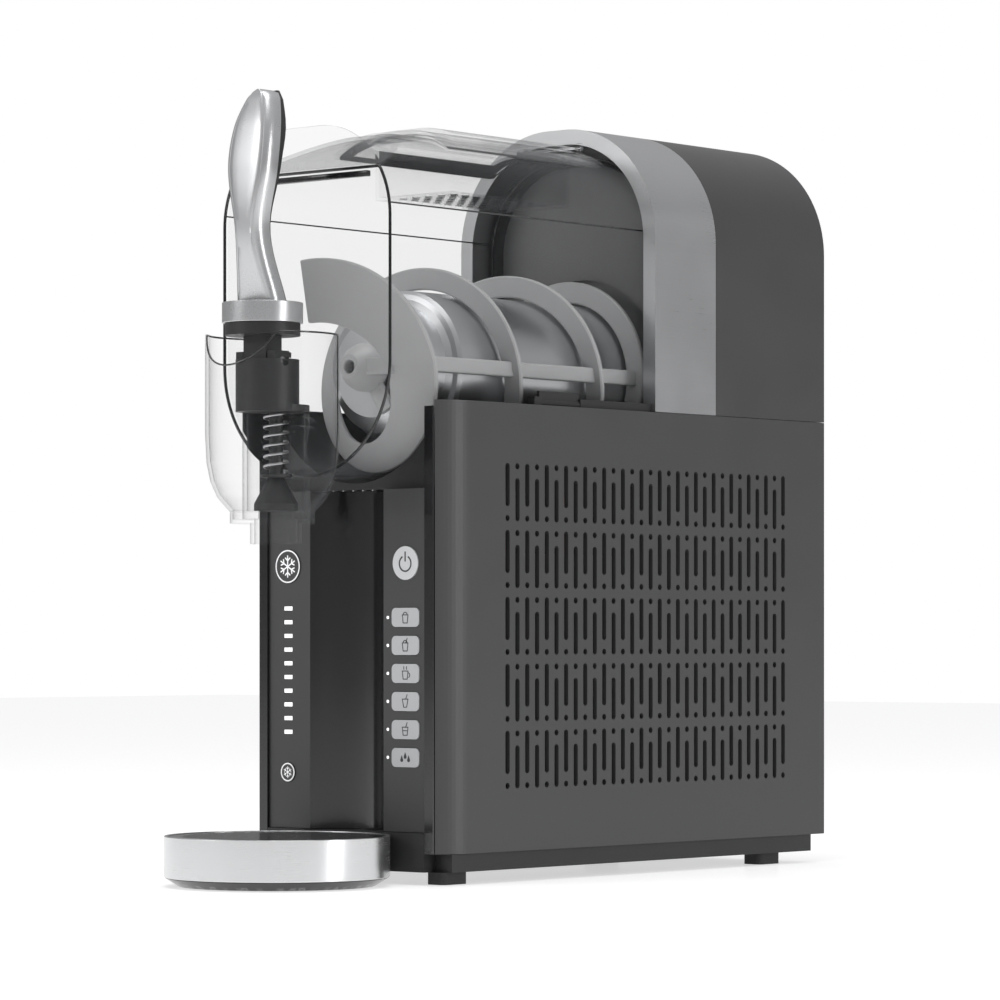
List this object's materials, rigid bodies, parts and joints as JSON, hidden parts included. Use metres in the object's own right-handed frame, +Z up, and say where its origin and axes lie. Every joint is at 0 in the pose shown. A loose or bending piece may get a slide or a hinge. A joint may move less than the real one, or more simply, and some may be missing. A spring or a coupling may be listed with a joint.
{
  "type": "slushie machine",
  "caption": "Countertop slushie machine: vented casing, clear vessel round a chilled drum and turning auger, lever tap and round drip tray.",
  "frame": {"origin": "centre of the footprint, at the height of the worktop", "axes": "+Y to the rear along the auger axis, +Z up, +X to the side of the mode keys"},
  "size_m": [0.154, 0.482, 0.45],
  "materials": {
    "dark_satin": "dark grey satin coating on the side panels, slightly textured",
    "black_plastic": "black moulded plastic, fine matt grain",
    "gloss_black": "gloss black plastic",
    "strip_grey": "smooth dark grey control strip",
    "hood_dark": "dark metallic satin hood",
    "band_silver": "satin silver band",
    "wall_grey": "mid grey moulded rear wall",
    "drum_steel": "polished stainless drum",
    "auger_grey": "light grey moulded auger",
    "clear": "clear polycarbonate",
    "handle_silver": "satin silver handle cover",
    "rubber": "black rubber",
    "steel": "plain steel",
    "screw": "bright screws and pins",
    "bronze": "sintered bronze",
    "nylon": "natural nylon",
    "enamel": "black enamel",
    "aluminium": "bare aluminium fins",
    "copper": "copper tube",
    "board": "printed circuit board",
    "light": "white light pipes",
    "key_pale": "pale grey keys",
    "key_white": "white power key"
  },
  "bodies": {
    "cabinet": {"chassis_base": "black_plastic", "feet": "rubber", "right_side_panel": "dark_satin", "left_side_panel": "dark_satin", "rear_panel": "black_plastic", "power_inlet": "gloss_black", "front_fascia": "gloss_black", "right_control_strip": "strip_grey", "left_control_strip": "strip_grey", "control_board": "board", "indicator_leds": "light", "deck_cradle": "black_plastic", "rear_wall": "wall_grey", "silver_band": "band_silver", "rear_hood": "hood_dark", "evaporator_drum": "drum_steel", "vessel_gasket": "rubber", "gearbox_case": "aluminium", "drive_motor": "steel", "shaft_bushes": "bronze", "compressor": "enamel", "compressor_grommets": "rubber", "condenser_coil": "aluminium", "fan_shroud": "black_plastic", "fan_motor": "steel", "refrigerant_pipes": "copper", "panel_screws": "screw"},
    "auger": {"auger": "auger_grey", "drive_shaft": "steel", "drive_gear": "nylon"},
    "motor_rotor": {"motor_pinion": "steel"},
    "fan": {"fan_rotor": "black_plastic"},
    "vessel_unit": {"vessel": "clear", "fill_basket": "clear", "splash_guard": "clear", "spout_ring": "clear", "tap_body": "black_plastic", "handle_pin": "screw", "lid_hinge_pin": "screw"},
    "lid": {"fill_lid": "clear"},
    "handle": {"handle_front": "handle_silver", "handle_core": "black_plastic", "handle_collar": "handle_silver"},
    "plunger": {"tap_plunger": "black_plastic", "plunger_seal": "rubber", "tap_spring": "steel"},
    "tray": {"tray_basin": "gloss_black", "tray_band": "band_silver"},
    "grille": {"tray_grille": "gloss_black"},
    "latch_r": {"right_latch": "black_plastic"},
    "latch_l": {"left_latch": "black_plastic"},
    "power": {"power_button": "key_white"},
    "colder": {"colder_key": "strip_grey"},
    "warmer": {"warmer_key": "strip_grey"},
    "mode_1": {"mode_key_1": "key_pale"},
    "mode_2": {"mode_key_2": "key_pale"},
    "mode_3": {"mode_key_3": "key_pale"},
    "mode_4": {"mode_key_4": "key_pale"},
    "mode_5": {"mode_key_5": "key_pale"},
    "mode_6": {"mode_key_6": "key_pale"}
  },
  "joints": [
    {"name": "auger_spin", "type": "hinge", "parent": "cabinet", "child": "auger", "pos_m": [0, -0.019, 0.297], "axis": [0, 1, 0], "continuous": true},
    {"name": "pinion_spin", "type": "hinge", "parent": "cabinet", "child": "motor_rotor", "pos_m": [0, 0.121, 0.252], "axis": [0, 1, 0], "continuous": true},
    {"name": "fan_spin", "type": "hinge", "parent": "cabinet", "child": "fan", "pos_m": [0.034, -0.003, 0.1095], "axis": [1, 0, 0], "continuous": true},
    {"name": "vessel_slide", "type": "slide", "parent": "cabinet", "child": "vessel_unit", "axis": [0, -1, 0], "range_m": [0, 0.26]},
    {"name": "lid_hinge", "type": "hinge", "parent": "vessel_unit", "child": "lid", "pos_m": [0, 0.065, 0.4365], "axis": [-1, 0, 0], "range_deg": [0, 75]},
    {"name": "handle_tilt", "type": "hinge", "parent": "vessel_unit", "child": "handle", "pos_m": [0, -0.189, 0.296], "axis": [1, 0, 0], "range_deg": [0, 30], "stiffness_Nm_per_rad": 0.9, "springref_deg": -14.32},
    {"name": "plunger_lift", "type": "slide", "parent": "vessel_unit", "child": "plunger", "axis": [0, 0, 1], "range_m": [0, 0.0057], "stiffness_N_per_m": 350, "springref_m": -0.01, "deforming": ["tap_spring"]},
    {"name": "tray_slide", "type": "slide", "parent": "cabinet", "child": "tray", "axis": [0, -1, 0], "range_m": [0, 0.08]},
    {"name": "grille_lift", "type": "slide", "parent": "tray", "child": "grille", "axis": [0, 0, 1], "range_m": [0, 0.03]},
    {"name": "right_latch_turn", "type": "hinge", "parent": "cabinet", "child": "latch_r", "pos_m": [0.0705, -0.015, 0.277], "axis": [0, 1, 0], "range_deg": [0, 60]},
    {"name": "left_latch_turn", "type": "hinge", "parent": "cabinet", "child": "latch_l", "pos_m": [-0.0705, -0.015, 0.277], "axis": [0, -1, 0], "range_deg": [0, 60]},
    {"name": "power_press", "type": "slide", "parent": "cabinet", "child": "power", "axis": [0, 1, 0], "range_m": [0, 0.001], "stiffness_N_per_m": 700, "springref_m": -0.0006},
    {"name": "colder_press", "type": "slide", "parent": "cabinet", "child": "colder", "axis": [0, 1, 0], "range_m": [0, 0.001], "stiffness_N_per_m": 700, "springref_m": -0.0006},
    {"name": "warmer_press", "type": "slide", "parent": "cabinet", "child": "warmer", "axis": [0, 1, 0], "range_m": [0, 0.001], "stiffness_N_per_m": 700, "springref_m": -0.0006},
    {"name": "mode_1_press", "type": "slide", "parent": "cabinet", "child": "mode_1", "axis": [0, 1, 0], "range_m": [0, 0.001], "stiffness_N_per_m": 700, "springref_m": -0.0006},
    {"name": "mode_2_press", "type": "slide", "parent": "cabinet", "child": "mode_2", "axis": [0, 1, 0], "range_m": [0, 0.001], "stiffness_N_per_m": 700, "springref_m": -0.0006},
    {"name": "mode_3_press", "type": "slide", "parent": "cabinet", "child": "mode_3", "axis": [0, 1, 0], "range_m": [0, 0.001], "stiffness_N_per_m": 700, "springref_m": -0.0006},
    {"name": "mode_4_press", "type": "slide", "parent": "cabinet", "child": "mode_4", "axis": [0, 1, 0], "range_m": [0, 0.001], "stiffness_N_per_m": 700, "springref_m": -0.0006},
    {"name": "mode_5_press", "type": "slide", "parent": "cabinet", "child": "mode_5", "axis": [0, 1, 0], "range_m": [0, 0.001], "stiffness_N_per_m": 700, "springref_m": -0.0006},
    {"name": "mode_6_press", "type": "slide", "parent": "cabinet", "child": "mode_6", "axis": [0, 1, 0], "range_m": [0, 0.001], "stiffness_N_per_m": 700, "springref_m": -0.0006}
  ],
  "couplings": [
    {"joint": "pinion_spin", "follows": "auger_spin", "ratio": -4},
    {"joint": "plunger_lift", "follows": "handle_tilt", "m_per_rad": 0.0105}
  ]
}
